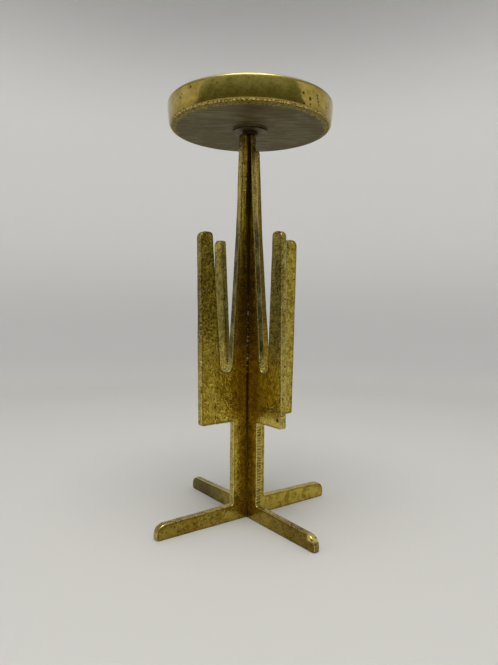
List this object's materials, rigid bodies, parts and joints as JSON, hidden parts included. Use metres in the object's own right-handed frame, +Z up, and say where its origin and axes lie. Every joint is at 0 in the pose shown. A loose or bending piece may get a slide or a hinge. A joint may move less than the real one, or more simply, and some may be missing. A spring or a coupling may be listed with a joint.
{
  "type": "candlestick",
  "caption": "Cast brass candlestick: crossed flat plates with foot arms, wings and upright prongs, and a tapering spike that carries a thick round dish with a pricket.",
  "frame": {"origin": "on the floor, on the axis of the column", "axes": "+Z up along the column, X along the left-right plate with +X to the right, Y along the front-back plate with -Y to the front"},
  "size_m": [0.1336, 0.1336, 0.2752],
  "materials": {
    "cast_brass": "sand-cast, filed and aged, mottled gold and brown",
    "brazing_metal": "dull dark brown",
    "dark_brass": "dull, tarnished",
    "rod_brass": "turned, lightly tarnished",
    "dish_brass": "cast, turned and polished, with small casting pits"
  },
  "bodies": {
    "root": {"left_right_plate": "cast_brass", "front_back_plate": "cast_brass", "braze_seams": "brazing_metal", "neck_collar": "dark_brass", "support_washer": "dark_brass", "centre_stud": "rod_brass", "dish": "dish_brass", "pricket": "rod_brass"}
  },
  "joints": []
}
